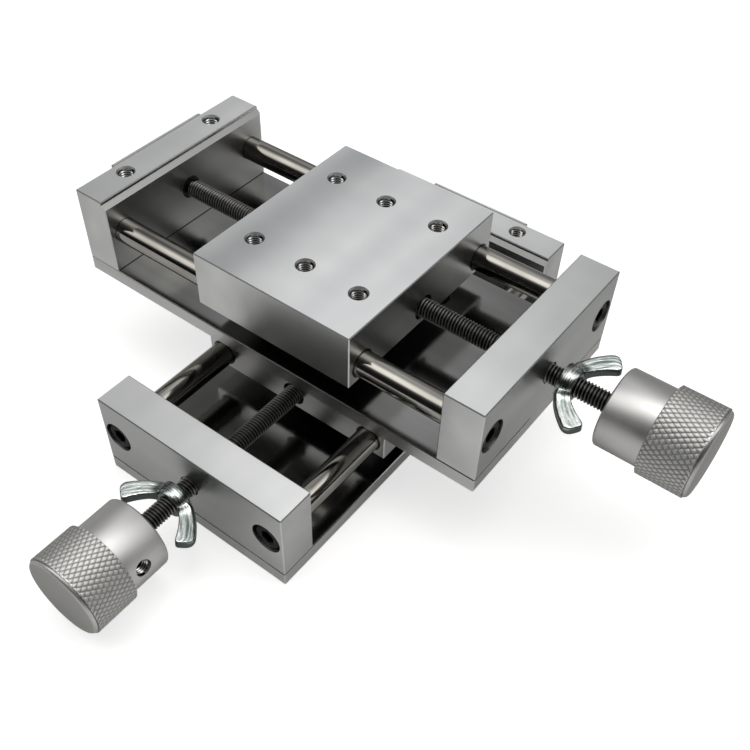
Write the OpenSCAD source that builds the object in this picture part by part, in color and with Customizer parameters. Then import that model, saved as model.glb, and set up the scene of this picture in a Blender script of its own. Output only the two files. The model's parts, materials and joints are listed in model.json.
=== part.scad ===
// Two-axis manual cross slide for a microscope or a lab bench.
// Two equal screw-driven stages are stacked at a right angle. The lower one
// moves along Y and its knob points to -Y. The upper one is bolted to the
// lower carriage, moves along X, and its knob points to +X.
// Millimetres, +Z up. The origin is the centre of the lower plate's underside.
// Each piece is drawn once, in a stage's own frame: travel along X, knob at +X,
// the underside of the plate at z = 0, and the middle of the plate at x = 0.

/* [Base plates and end blocks] */
// Length of a base plate, along the travel
plate_l = 148; // [130:1:180]
// Width of the plates, the end blocks and the carriages
stage_w = 70; // [64:1:90]
// Thickness of a base plate
plate_t = 5; // [4:0.5:8]
// Height of the end blocks above the plate
block_h = 25.5; // [24:0.5:32]
// Thickness of the front block, along the travel
front_block_t = 12.5; // [11:0.5:18]
// Thickness of the rear block, along the travel
rear_block_t = 12.5; // [11:0.5:18]
// Width of the ledge milled along the rear block's inner top edge
ledge_w = 1.5; // [1:0.1:2.5]
// Height of the ledge's upright wall, below the block's top
ledge_wall = 1.1; // [0.6:0.1:1.6]
// Depth of the ledge where its slope meets the block's inner face
ledge_drop = 2.4; // [1.8:0.1:3.2]
// Eased edges of the plates, blocks and carriages
edge_c = 0.3; // [0.1:0.1:0.6]

/* [Carriages] */
// Length of a carriage, along the travel
carriage_l = 56.5; // [52:0.5:72]
// Height of a carriage's top above the tops of the end blocks
carriage_proud = 0.5; // [0.3:0.1:2]
// Wall of the carriage under its rod bushes
carriage_floor = 0.85; // [0.6:0.05:3]
// How far the lower carriage is drawn from the middle of its plate
lower_carriage_x = 0; // [-20:0.5:20]
// How far the upper carriage is drawn from the middle of its plate
upper_carriage_x = 3.5; // [-20:0.5:20]

/* [Tapped holes and the holes that match them] */
// Major diameter of the tapped holes and of the screws that fit them
hole_d = 5; // [4:0.5:6]
// Extra diameter of the countersink at the mouth of a tapped hole
hole_sink = 1; // [0.4:0.1:2]
// Distance between rows of carriage holes along the travel
hole_pitch = 19; // [15:0.5:22]
// Distance between the two holes of a row, across the travel
hole_span = 38; // [28:1:38]
// Solid left between the end of a tapped hole and the bores near it
hole_floor = 0.75; // [0.5:0.05:1.5]
// Distance of the rear block's top holes from its outer face
rear_hole_inset = 5; // [4:0.5:7]
// Radial clearance of the through holes around their screws
through_clear = 0.3; // [0.1:0.05:0.5]
// Shift of a plate's hole pattern from the middle of the plate
pattern_shift = 5; // [-10:0.5:10]
// Distance of the lower plate's bench holes from its middle, along the travel
base_hole_x = 14; // [8:0.5:18]

/* [Guide rods] */
// Diameter of the guide rods
rod_d = 8; // [6:0.5:8.5]
// Distance of a rod's axis from the side faces
rod_edge = 6; // [6:0.5:9]
// Depth of a rod's seat in the front block
front_seat = 4; // [3:0.5:4.5]
// Depth of a rod's seat in the rear block
rear_seat = 8; // [5:0.5:9]
// Gap between a rod's rear end and the bottom of its seat
rod_end_gap = 0.2; // [0.1:0.1:1]
// Chamfer on the ends of the rods
rod_chamfer = 0.5; // [0.2:0.1:1]
// Depth of the tapped hole in a rod's front end
rod_hole_depth = 12; // [9:1:20]

/* [Rod screws] */
// Head diameter of the socket cap screws
cap_d = 8.5; // [7.5:0.1:9]
// Head height of the socket cap screws
cap_h = 5; // [4:0.1:5.2]
// Radial clearance of the counterbore around the head
cap_bore_gap = 0.75; // [0.2:0.05:0.9]
// How far the head lies below the block's face
cap_sunk = 0.5; // [0:0.1:1]
// Hex socket of the cap screws, across its flats
cap_hex = 4; // [3:0.5:4.5]
// Depth of that socket
cap_hex_depth = 2.6; // [1.5:0.1:3.2]

/* [Flat-head screws] */
// Extra diameter of a flat head over its screw
flat_head_extra = 4.4; // [3:0.1:4.8]
// How far a flat head lies below the face around it
flat_sunk = 0.1; // [0.05:0.05:0.4]
// Hex socket of the flat-head screws, across its flats
flat_hex = 3; // [2:0.5:3]
// Depth of that socket
flat_hex_depth = 2; // [1:0.1:2.4]

/* [Lead screw and its bearings] */
// Outside diameter of the lead screw's thread
screw_d = 6; // [5:0.5:6.5]
// Diameter of the turned-down journal at the screw's rear end
journal_d = 4.5; // [3:0.5:4.5]
// Wall of the front and rear bearing bushes
bush_wall = 1.5; // [1:0.1:2]
// Lip of the front block that covers the end of its bush
bush_lip = 1.5; // [1:0.1:4]
// Radial gap around the screw in that lip
lip_gap = 0.35; // [0.2:0.05:0.6]
// Diameter of the retaining collar behind the rear bush
collar_d = 10; // [8:0.5:11]
// Length of the retaining collar
collar_l = 3.5; // [2.5:0.1:4]
// Depth of the recess that holds the collar, in the rear block's outer face
recess_depth = 4.5; // [4.3:0.1:5.5]
// Radial gap around the collar in its recess
recess_gap = 1; // [0.5:0.1:1.5]
// End play of the screw at each side of the rear bush
end_play = 0.1; // [0.05:0.05:0.3]
// Wall of the brass feed nut
nut_wall = 1.7; // [1.2:0.1:1.9]
// Length of the feed nut
nut_l = 20; // [12:1:30]
// Radial gap around the screw where it passes into a carriage
mouth_gap = 1; // [0.5:0.1:1.5]

/* [Rod bushes] */
// Wall of the thin bushes that run on the rods
liner_wall = 0.45; // [0.3:0.05:0.6]
// Length of each of those bushes
liner_l = 15; // [8:1:25]

/* [Knob] */
// Gap between the front block and the knob
knob_gap = 19.5; // [17:0.5:26]
// Diameter of the knob's plain neck
neck_d = 23; // [18:0.5:25]
// Length of the neck
neck_l = 13; // [11:0.5:18]
// Outside diameter of the knurled grip
grip_d = 26; // [25.5:0.5:32]
// Length of the grip
grip_l = 14.5; // [10:0.5:24]
// Chamfer on the knob's edges
knob_chamfer = 0.6; // [0.2:0.1:1]
// Solid left in front of the knob's bore
knob_front = 7.5; // [3:0.5:9]
// Distance of the set-screw hole from the neck's inner end
grub_x = 8.5; // [5:0.5:9]
// Length of the set screw
grub_l = 5; // [4:0.5:7]
// Hex socket of the set screw, across its flats
grub_hex = 2.5; // [2:0.5:3]
// Angle of the lower knob's set screw from the level, as photographed
lower_grub_turn = 12; // [-180:1:180]
// Angle of the upper knob's set screw from the level, out of sight below
upper_grub_turn = -70; // [-180:1:180]

/* [Wing nut] */
// Gap between the front block and the wing nut
wing_gap = 4; // [2:0.5:6]
// Diameter of the nut's hub where it faces the block
hub_d = 10.6; // [9.5:0.1:12]
// Diameter of the hub's outer end
hub_end_d = 9.2; // [8.5:0.1:9.4]
// Height of the hub
hub_h = 4.6; // [4:0.1:6]
// Distance between the outer corners of the two wings, before rounding
wing_span = 29; // [24:0.1:31]
// How far the wings' front corners lie from the hub's base, before rounding
wing_rise = 12.5; // [10:0.1:13.5]
// Length of a wing's straight tip edge, before rounding
wing_w = 5.6; // [4.5:0.1:7]
// Rounding of the corners of the wings
wing_round = 1.8; // [0.8:0.1:2.2]
// Thickness of a wing
wing_t = 3.3; // [2:0.1:3.6]
// Slope of a wing's tip edge from the screw's axis
wing_tip_turn = 52; // [45:1:65]
// Angle of the lower nut's wings from the level, as photographed
lower_wing_turn = -8.5; // [-180:0.5:180]
// Angle of the upper nut's wings from the level, as photographed
upper_wing_turn = 13; // [-180:0.5:180]

/* [Rear cover] */
// Width of the thin cover over the rear bearing
cover_w = 39; // [34:1:50]
// Thickness of the cover
cover_t = 1.3; // [1.2:0.1:2.5]
// Bare height of the block below the cover
cover_foot = 1; // [0.5:0.5:3]
// Distance of the cover's screws from its sides
cover_screw_inset = 5.5; // [4.5:0.5:6.5]
// Diameter of the cover's screws
cover_screw_d = 3; // [2.5:0.5:3]
// Extra diameter of their heads
cover_head_extra = 2; // [1.5:0.1:2.2]
// Length of the cover's screws
cover_screw_l = 6; // [5:0.5:8]

/* [Fits] */
// Radial clearance of what turns or slides in a bore
run_fit = 0.05; // [0.02:0.01:0.1]
// Radial clearance of what is fixed in a bore
seat_fit = 0.02; // [0.01:0.01:0.05]

/* [Hidden] */
$fn = 72;
cut = 1;
block_top = plate_t + block_h;
axis_z = plate_t + block_h / 2;
stage_h = block_top + carriage_proud;
front_face = plate_l / 2;
front_inner = front_face - front_block_t;
rear_face = -plate_l / 2;
rear_inner = rear_face + rear_block_t;
rod_y = stage_w / 2 - rod_edge;
rod_seat_d = rod_d + 2 * seat_fit;
liner_d = rod_d + 2 * run_fit + 2 * liner_wall;
liner_seat_d = liner_d + 2 * seat_fit;
carriage_h = block_h / 2 + carriage_proud + liner_seat_d / 2 + carriage_floor;
carriage_bottom = stage_h - carriage_h;
cap_bore_d = cap_d + 2 * cap_bore_gap;
cap_bore_depth = cap_h + cap_sunk;
web_t = front_block_t - front_seat - cap_bore_depth;
thread_d = hole_d - 2 * run_fit;
through_d = hole_d + 2 * through_clear;
flat_head_d = thread_d + flat_head_extra;
carriage_hole_depth = stage_h - axis_z - liner_seat_d / 2 - hole_floor;
rear_hole_depth = block_h / 2 - rod_seat_d / 2 - hole_floor;
block_hole_depth = block_h / 2 - max(cap_bore_d, rod_seat_d) / 2 - hole_floor;
rod_front = front_inner + front_seat;
rod_rear = rear_inner - rear_seat + rod_end_gap;
bush_d = screw_d + 2 * run_fit + 2 * bush_wall;
rear_bush_d = journal_d + 2 * run_fit + 2 * bush_wall;
rear_bush_l = rear_block_t - recess_depth;
recess_d = collar_d + 2 * recess_gap;
nut_d = screw_d + 2 * run_fit + 2 * nut_wall;
mouth_d = screw_d + 2 * mouth_gap;
knob_x = front_face + knob_gap;
knob_l = neck_l + grip_l;
screw_front = knob_x + knob_l - knob_front;
screw_shoulder = rear_inner + end_play;
cover_h = block_h - cover_foot;
cover_screw_y = cover_w / 2 - cover_screw_inset;
cover_thread_d = cover_screw_d - 2 * run_fit;
cover_head_d = cover_thread_d + cover_head_extra;

// Every piece of the assembly, from the bench up

// The lower stage travels along Y, with its knob at -Y
module lower() {
    rotate([0, 0, -90]) children();
}

// The upper stage stands on the lower carriage
module upper() {
    translate([-pattern_shift, -lower_carriage_x, stage_h]) children();
}

// A rectangle, centred, with its corners cut at 45 degrees
module eased_rect(a, b, c) {
    polygon([
        [-a / 2 + c, -b / 2], [a / 2 - c, -b / 2], [a / 2, -b / 2 + c],
        [a / 2, b / 2 - c], [a / 2 - c, b / 2], [-a / 2 + c, b / 2],
        [-a / 2, b / 2 - c], [-a / 2, -b / 2 + c]
    ]);
}

// A block that stands on z = 0 with all of its edges eased
module eased_box(l, w, h, c) {
    intersection() {
        linear_extrude(h) eased_rect(l, w, c);
        rotate([90, 0, 0])
            linear_extrude(w, center = true)
                translate([0, h / 2]) eased_rect(l, h, c);
        rotate([90, 0, 90])
            linear_extrude(l, center = true)
                translate([0, h / 2]) eased_rect(w, h, c);
    }
}

// A tapped hole seen as a cutter: mouth at z = 0, going down
module tapped_hole(d, depth) {
    translate([0, 0, -depth]) cylinder(d = d, h = depth + cut);
    translate([0, 0, -hole_sink / 2])
        cylinder(d1 = d, d2 = d + hole_sink + 2 * cut, h = hole_sink / 2 + cut);
}

// A through hole with a countersink at z = 0, going down
module sunk_hole(d, head_d, depth) {
    top_d = head_d + 2 * run_fit + 2 * flat_sunk;
    translate([0, 0, -depth - cut]) cylinder(d = d, h = depth + 2 * cut);
    translate([0, 0, -top_d / 2])
        cylinder(d1 = 0, d2 = top_d + 2 * cut, h = top_d / 2 + cut);
}

// A countersunk screw, head up, its head's top face at z = -flat_sunk
module flat_screw(d, head_d, l, hex, hex_depth) {
    translate([0, 0, -flat_sunk])
        difference() {
            union() {
                translate([0, 0, -l]) cylinder(d = d, h = l);
                translate([0, 0, -(head_d - d) / 2])
                    cylinder(d1 = d, d2 = head_d, h = (head_d - d) / 2);
            }
            translate([0, 0, -hex_depth])
                cylinder(d = hex / cos(30), h = hex_depth + cut, $fn = 6);
        }
}

// Places its child at both rods, at the height of the rods
module at_rods() {
    for (side = [-1, 1])
        translate([0, side * rod_y, axis_z]) children();
}

// Places its child at the four holes that join a plate to what is under it
module at_pattern() {
    for (i = [-1, 1], j = [-1, 1])
        translate([pattern_shift + i * hole_span / 2, j * hole_pitch, 0])
            children();
}

// Places its child at the four holes that hold the lower plate on a bench
module at_bench_holes() {
    for (i = [-1, 1], j = [-1, 1])
        translate([i * base_hole_x, j * hole_span / 2, 0]) children();
}

// Places its child at the four screws between a plate and its blocks
module at_block_screws() {
    for (x = [front_face - front_block_t / 2, rear_face + rear_block_t / 2])
        for (side = [-1, 1])
            translate([x, side * hole_span / 2, 0]) children();
}

// A plate, with its child as the cutter of its four countersunk holes
module base_plate() {
    color("silver")
    difference() {
        eased_box(plate_l, stage_w, plate_t, edge_c);
        translate([0, 0, plate_t]) children();
        at_block_screws()
            mirror([0, 0, 1]) sunk_hole(through_d, flat_head_d, plate_t);
    }
}

module front_block() {
    color("lightgray")
    difference() {
        translate([front_face - front_block_t / 2, 0, plate_t])
            eased_box(front_block_t, stage_w, block_h, edge_c);
        translate([0, 0, axis_z]) rotate([0, 90, 0]) {
            cylinder(d = bush_d + 2 * seat_fit, h = front_face - bush_lip);
            cylinder(d = screw_d + 2 * lip_gap, h = plate_l);
        }
        at_rods() rotate([0, 90, 0]) {
            cylinder(d = rod_seat_d, h = rod_front);
            cylinder(d = through_d, h = plate_l);
            translate([0, 0, front_face - cap_bore_depth])
                cylinder(d = cap_bore_d, h = cap_bore_depth + cut);
        }
        translate([front_face - front_block_t / 2, 0, plate_t])
            for (side = [-1, 1])
                translate([0, side * hole_span / 2, 0])
                    mirror([0, 0, 1]) tapped_hole(hole_d, block_hole_depth);
    }
}

// Side view of the rear block, with the ledge on its inner top edge
module rear_block_profile() {
    t = rear_block_t;
    h = block_h;
    step = t - ledge_w;
    polygon([
        [edge_c, 0], [t - edge_c, 0], [t, edge_c], [t, h - ledge_drop],
        [step, h - ledge_wall], [step, h - edge_c], [step - edge_c, h],
        [edge_c, h], [0, h - edge_c], [0, edge_c]
    ]);
}

module rear_block() {
    color("lightgray")
    difference() {
        intersection() {
            translate([rear_face, 0, plate_t]) rotate([90, 0, 0])
                linear_extrude(stage_w, center = true) rear_block_profile();
            translate([rear_face + rear_block_t / 2, 0, plate_t])
                eased_box(rear_block_t, stage_w, block_h, edge_c);
        }
        translate([rear_inner - rear_seat, 0, 0])
            at_rods() rotate([0, 90, 0])
                cylinder(d = rod_seat_d, h = rear_seat + cut);
        translate([rear_face - cut, 0, axis_z]) rotate([0, 90, 0]) {
            cylinder(d = rear_bush_d + 2 * seat_fit, h = rear_block_t + 2 * cut);
            cylinder(d = recess_d, h = recess_depth + cut);
            for (side = [-1, 1])
                translate([0, side * cover_screw_y, 0])
                    cylinder(d = cover_screw_d, h = cover_screw_l + cut);
        }
        translate([rear_face + rear_hole_inset, 0, block_top])
            for (side = [-1, 1])
                translate([0, side * hole_span / 2, 0])
                    tapped_hole(hole_d, rear_hole_depth);
        translate([rear_face + rear_block_t / 2, 0, plate_t])
            for (side = [-1, 1])
                translate([0, side * hole_span / 2, 0])
                    mirror([0, 0, 1]) tapped_hole(hole_d, block_hole_depth);
    }
}

// One guide rod, at the side given by -1 or 1
module guide_rod(side) {
    l = rod_front - rod_rear;
    color("gainsboro")
    translate([rod_rear, side * rod_y, axis_z]) rotate([0, 90, 0])
    difference() {
        union() {
            cylinder(d1 = rod_d - 2 * rod_chamfer, d2 = rod_d, h = rod_chamfer);
            translate([0, 0, rod_chamfer])
                cylinder(d = rod_d, h = l - 2 * rod_chamfer);
            translate([0, 0, l - rod_chamfer])
                cylinder(d1 = rod_d, d2 = rod_d - 2 * rod_chamfer, h = rod_chamfer);
        }
        translate([0, 0, l - rod_hole_depth])
            cylinder(d = hole_d, h = rod_hole_depth + cut);
    }
}

// The two socket cap screws that pull the rods against the front block
module rod_screws() {
    seat_x = front_face - cap_bore_depth;
    color("dimgray")
    at_rods() rotate([0, 90, 0])
    difference() {
        union() {
            translate([0, 0, seat_x]) cylinder(d = cap_d, h = cap_h);
            translate([0, 0, rod_front - rod_hole_depth + cut])
                cylinder(d = thread_d, h = web_t + rod_hole_depth - cut);
        }
        translate([0, 0, seat_x + cap_h - cap_hex_depth])
            cylinder(d = cap_hex / cos(30), h = cap_hex_depth + cut, $fn = 6);
    }
}

// The four countersunk screws that come up through the plate into the blocks
module block_screws() {
    color("dimgray")
    at_block_screws()
        mirror([0, 0, 1])
            flat_screw(thread_d, flat_head_d, plate_t + block_hole_depth - cut,
                flat_hex, flat_hex_depth);
}

module front_bush() {
    color("#202020")
    translate([front_inner, 0, axis_z]) rotate([0, 90, 0])
    difference() {
        cylinder(d = bush_d, h = front_block_t - bush_lip);
        translate([0, 0, -cut])
            cylinder(d = screw_d + 2 * run_fit, h = front_block_t + 2 * cut);
    }
}

module rear_bush() {
    color("#202020")
    translate([rear_inner - rear_bush_l, 0, axis_z]) rotate([0, 90, 0])
    difference() {
        cylinder(d = rear_bush_d, h = rear_bush_l);
        translate([0, 0, -cut])
            cylinder(d = journal_d + 2 * run_fit, h = rear_bush_l + 2 * cut);
    }
}

// The thin cover that closes the collar's recess
module rear_cover() {
    color("lightgray")
    difference() {
        translate([rear_face - cover_t / 2, 0, block_top - cover_h])
            eased_box(cover_t, cover_w, cover_h, min(edge_c, cover_t / 4));
        translate([rear_face - cover_t, 0, axis_z])
            for (side = [-1, 1])
                translate([0, side * cover_screw_y, 0]) rotate([0, -90, 0])
                    sunk_hole(cover_screw_d, cover_head_d, cover_t);
    }
}

module cover_screws() {
    color("dimgray")
    translate([rear_face - cover_t, 0, axis_z])
        for (side = [-1, 1])
            translate([0, side * cover_screw_y, 0]) rotate([0, -90, 0])
                flat_screw(cover_thread_d, cover_head_d, cover_screw_l,
                    cover_screw_d / 2, cover_head_extra / 2);
}

// The lead screw: journal, shoulder and threaded length up into the knob
module lead_screw() {
    journal_end = rear_inner - rear_bush_l - end_play - collar_l;
    color("#303030")
    translate([0, 0, axis_z]) rotate([0, 90, 0]) {
        translate([0, 0, journal_end])
            cylinder(d = journal_d, h = screw_shoulder - journal_end);
        translate([0, 0, screw_shoulder])
            cylinder(d = screw_d, h = screw_front - screw_shoulder);
    }
}

// The collar fixed on the journal behind the rear bush
module screw_collar() {
    color("dimgray")
    translate([rear_inner - rear_bush_l - end_play - collar_l, 0, axis_z])
    rotate([0, 90, 0])
    difference() {
        cylinder(d = collar_d, h = collar_l);
        translate([0, 0, -cut])
            cylinder(d = journal_d + 2 * seat_fit, h = collar_l + 2 * cut);
    }
}

// Half section of the knob, with its axis along Y
module knob_section() {
    c = knob_chamfer;
    polygon([
        [0, 0], [neck_d / 2 - c, 0], [neck_d / 2, c], [neck_d / 2, neck_l],
        [grip_d / 2 - c, neck_l], [grip_d / 2, neck_l + c],
        [grip_d / 2, knob_l - c], [grip_d / 2 - c, knob_l], [0, knob_l]
    ]);
}

// The knob, with its set-screw hole turned by an angle about the screw
module knob(turn) {
    color("silver")
    translate([knob_x, 0, axis_z]) rotate([turn, 0, 0])
    difference() {
        rotate([0, 90, 0]) rotate_extrude() knob_section();
        translate([-cut, 0, 0]) rotate([0, 90, 0])
            cylinder(d = screw_d + 2 * seat_fit, h = knob_l - knob_front + cut);
        translate([grub_x, 0, 0]) rotate([-90, 0, 0])
            cylinder(d = hole_d, h = neck_d);
    }
}

module knob_set_screw(turn) {
    color("#303030")
    translate([knob_x + grub_x, 0, axis_z]) rotate([turn, 0, 0])
    rotate([-90, 0, 0])
    translate([0, 0, screw_d / 2 + run_fit])
    difference() {
        cylinder(d = thread_d, h = grub_l);
        translate([0, 0, grub_l / 2])
            cylinder(d = grub_hex / cos(30), h = grub_l, $fn = 6);
    }
}

// Points along a curve from a to c that leans towards b
function bend(a, b, c, steps) = [
    for (i = [0:steps])
        let (t = i / steps)
            (1 - t) * (1 - t) * a + 2 * t * (1 - t) * b + t * t * c
];

// The point at distance d from a, on the way to b
function toward(a, b, d) = a + d * (b - a) / norm(b - a);

// One wing, flat: x runs along the screw from the hub's base, y runs outwards
module wing_outline() {
    near_root = [0.1, hub_d / 2 - 0.5];
    far_root = [hub_h - 0.2, hub_end_d / 2 - 0.6];
    back_tip = [wing_rise - wing_w * cos(wing_tip_turn), wing_span / 2];
    front_tip = [wing_rise, wing_span / 2 - wing_w * sin(wing_tip_turn)];
    near_bend = [back_tip[0] * 0.16, back_tip[1] * 0.67];
    far_bend = [front_tip[0] * 0.592, front_tip[1] * 0.723];
    near_end = toward(back_tip, near_bend, wing_round);
    far_end = toward(front_tip, far_bend, wing_round * 0.7);
    tip_start = toward(back_tip, front_tip, wing_round);
    tip_end = toward(front_tip, back_tip, wing_round * 0.7);
    polygon(concat(
        bend(near_root, near_bend, near_end, 9),
        bend(near_end, back_tip, tip_start, 4),
        bend(tip_end, front_tip, far_end, 4),
        bend(far_end, far_bend, far_root, 8)
    ));
}

// The wing nut, with its wings turned by an angle about the screw
module wing_nut(turn) {
    color("gainsboro")
    translate([front_face + wing_gap, 0, axis_z]) rotate([turn, 0, 0])
    difference() {
        union() {
            rotate([0, 90, 0])
                cylinder(d1 = hub_d, d2 = hub_end_d, h = hub_h);
            for (side = [0, 180])
                rotate([side, 0, 0])
                    linear_extrude(wing_t, center = true) wing_outline();
        }
        translate([-cut, 0, 0]) rotate([0, 90, 0])
            cylinder(d = screw_d + 2 * run_fit, h = wing_rise + 2 * cut);
    }
}

// A carriage, drawn at its place along the travel
module carriage(x) {
    color("lightgray")
    translate([x, 0, 0])
    difference() {
        translate([0, 0, carriage_bottom])
            eased_box(carriage_l, stage_w, carriage_h, edge_c);
        translate([0, 0, stage_h])
            for (i = [-1, 0, 1], side = [-1, 1])
                translate([i * hole_pitch, side * hole_span / 2, 0])
                    tapped_hole(hole_d, carriage_hole_depth);
        at_rods() rotate([0, 90, 0])
            cylinder(d = liner_seat_d, h = carriage_l + cut, center = true);
        translate([0, 0, axis_z]) rotate([0, 90, 0]) {
            cylinder(d = mouth_d, h = carriage_l + cut, center = true);
            translate([0, 0, -carriage_l / 2 - cut])
                cylinder(d = nut_d + 2 * seat_fit, h = nut_l + cut);
        }
    }
}

// The four thin bushes of a carriage, flush with its end faces
module rod_bushes(x) {
    color("#202020")
    translate([x, 0, 0])
        for (start = [-carriage_l / 2, carriage_l / 2 - liner_l])
            translate([start, 0, 0])
                at_rods() rotate([0, 90, 0])
                difference() {
                    cylinder(d = liner_d, h = liner_l);
                    translate([0, 0, -cut])
                        cylinder(d = rod_d + 2 * run_fit, h = liner_l + 2 * cut);
                }
}

// The brass nut in the rear half of a carriage, which the lead screw drives
module feed_nut(x) {
    color("goldenrod")
    translate([x - carriage_l / 2, 0, axis_z]) rotate([0, 90, 0])
    difference() {
        cylinder(d = nut_d, h = nut_l);
        translate([0, 0, -cut])
            cylinder(d = screw_d + 2 * run_fit, h = nut_l + 2 * cut);
    }
}

// The four screws that hold the upper plate on the lower carriage
module joining_screws() {
    color("dimgray")
    translate([0, 0, plate_t])
        at_pattern()
            flat_screw(thread_d, flat_head_d, plate_t + carriage_hole_depth - cut,
                flat_hex, flat_hex_depth);
}

lower() base_plate()  // lower_base_plate
        at_bench_holes() sunk_hole(through_d, flat_head_d, plate_t);
lower() front_block();  // lower_front_block
lower() rear_block();  // lower_rear_block
lower() guide_rod(-1);  // lower_left_rod
lower() guide_rod(1);  // lower_right_rod
lower() rod_screws();  // lower_rod_screws
lower() block_screws();  // lower_block_screws
lower() front_bush();  // lower_front_bush
lower() rear_bush();  // lower_rear_bush
lower() rear_cover();  // lower_rear_cover
lower() cover_screws();  // lower_cover_screws
lower() lead_screw();  // lower_lead_screw
lower() screw_collar();  // lower_screw_collar
lower() knob(lower_grub_turn);  // lower_knob
lower() knob_set_screw(lower_grub_turn);  // lower_knob_set_screw
lower() wing_nut(lower_wing_turn);  // lower_wing_nut
lower() carriage(lower_carriage_x);  // lower_carriage
lower() rod_bushes(lower_carriage_x);  // lower_rod_bushes
lower() feed_nut(lower_carriage_x);  // lower_feed_nut
upper() joining_screws();
upper() base_plate()  // upper_base_plate
        at_pattern() sunk_hole(through_d, flat_head_d, plate_t);
upper() front_block();  // upper_front_block
upper() rear_block();  // upper_rear_block
upper() guide_rod(-1);  // upper_left_rod
upper() guide_rod(1);  // upper_right_rod
upper() rod_screws();  // upper_rod_screws
upper() block_screws();  // upper_block_screws
upper() front_bush();  // upper_front_bush
upper() rear_bush();  // upper_rear_bush
upper() rear_cover();  // upper_rear_cover
upper() cover_screws();  // upper_cover_screws
upper() lead_screw();  // upper_lead_screw
upper() screw_collar();  // upper_screw_collar
upper() knob(upper_grub_turn);  // upper_knob
upper() knob_set_screw(upper_grub_turn);  // upper_knob_set_screw
upper() wing_nut(upper_wing_turn);  // upper_wing_nut
upper() carriage(upper_carriage_x);  // upper_carriage
upper() rod_bushes(upper_carriage_x);  // upper_rod_bushes
upper() feed_nut(upper_carriage_x);  // upper_feed_nut
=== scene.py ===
# %% [markdown]
# # A manual cross slide for a microscope or a lab bench
# Two equal stages are stacked at a right angle. On each one a knob turns a black screw, and the screw
# draws an aluminium carriage along two ground rods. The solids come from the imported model, already in
# place and in metres. This lesson gives them their finishes, and it remakes the pieces whose beauty is
# in detail that plain solids leave out: threads, knurl, cast wings and rounded edges.

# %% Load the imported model
import json
import math

import bmesh
import bpy
from mathutils import Matrix, Vector

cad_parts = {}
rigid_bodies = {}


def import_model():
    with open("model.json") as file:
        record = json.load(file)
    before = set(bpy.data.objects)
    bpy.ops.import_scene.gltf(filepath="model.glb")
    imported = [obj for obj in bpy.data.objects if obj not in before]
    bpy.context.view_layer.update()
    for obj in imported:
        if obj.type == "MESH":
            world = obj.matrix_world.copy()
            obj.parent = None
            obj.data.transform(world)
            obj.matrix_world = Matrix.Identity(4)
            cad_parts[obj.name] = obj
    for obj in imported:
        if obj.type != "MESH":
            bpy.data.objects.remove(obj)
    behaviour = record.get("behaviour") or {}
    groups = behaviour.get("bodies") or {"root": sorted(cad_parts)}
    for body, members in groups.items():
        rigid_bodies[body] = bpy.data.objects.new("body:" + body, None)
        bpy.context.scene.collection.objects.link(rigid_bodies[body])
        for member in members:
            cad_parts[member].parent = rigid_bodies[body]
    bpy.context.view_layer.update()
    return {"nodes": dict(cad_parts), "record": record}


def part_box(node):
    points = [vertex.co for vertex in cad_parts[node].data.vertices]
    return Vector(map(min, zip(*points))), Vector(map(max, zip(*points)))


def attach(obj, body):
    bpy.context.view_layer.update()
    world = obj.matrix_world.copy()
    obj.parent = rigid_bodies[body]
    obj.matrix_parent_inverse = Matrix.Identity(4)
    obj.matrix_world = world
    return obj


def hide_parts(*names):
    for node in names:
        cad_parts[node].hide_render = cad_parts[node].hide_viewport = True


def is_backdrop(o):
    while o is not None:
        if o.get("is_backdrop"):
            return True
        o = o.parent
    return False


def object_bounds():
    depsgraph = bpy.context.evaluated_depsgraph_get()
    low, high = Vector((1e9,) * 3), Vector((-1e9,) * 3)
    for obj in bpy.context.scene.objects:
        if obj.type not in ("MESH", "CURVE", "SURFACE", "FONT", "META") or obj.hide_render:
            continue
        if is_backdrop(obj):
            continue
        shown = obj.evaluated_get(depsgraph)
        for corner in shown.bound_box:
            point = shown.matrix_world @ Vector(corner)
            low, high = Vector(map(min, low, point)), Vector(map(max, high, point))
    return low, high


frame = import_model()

scene = bpy.context.scene
nodes = frame["nodes"]

# %% [markdown]
# ## One frame for both stages
# Both stages share one design, so each piece is drawn once, in the stage's own frame: travel along X,
# knob at +X, the underside of its plate at z = 0. Two matrices then carry it to its place. The lower
# stage is turned so that its knob points to -Y. The upper one stands 31 mm higher.

# %% The two stages
MM = 0.001
STAGES = {
    "lower": Matrix(((0, 1, 0, 0), (-1, 0, 0, 0), (0, 0, 1, 0), (0, 0, 0, 1))),
    "upper": Matrix.Translation((-5 * MM, 0, 31 * MM)),
}
RODS_RIDE_ON = {"lower": "lower_frame", "upper": "middle_slide"}
AXIS_Z = 17.75  # height of the screw and the rods above the plate's underside
ROD_Y = 29.0  # the rods' distance from the middle
FRONT_FACE = 74.0  # outer face of the front block
NUT_X = FRONT_FACE + 4  # where the wing nut begins
KNOB_X = 93.5  # where the knob begins

for stage in STAGES:
    low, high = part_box(stage + "_lead_screw")
    print(stage, "screw's middle in mm:", [round(v * 500, 2) for v in low + high])

# %% [markdown]
# ## Helpers for meshes
# Nearly every small piece here is turned on a lathe, so one helper spins a profile about the X axis.
# A ring may also be a hexagon, which makes a socket without any boolean cut. Finished pieces sit at the
# origin with their place in their vertices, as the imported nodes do.

# %% Turned shapes


def hexagon(flats):
    """Radius of a hexagon at an angle, from its width across the flats."""
    return lambda a: flats / 2 / math.cos((a + math.pi / 6) % (math.pi / 3) - math.pi / 6)


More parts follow.
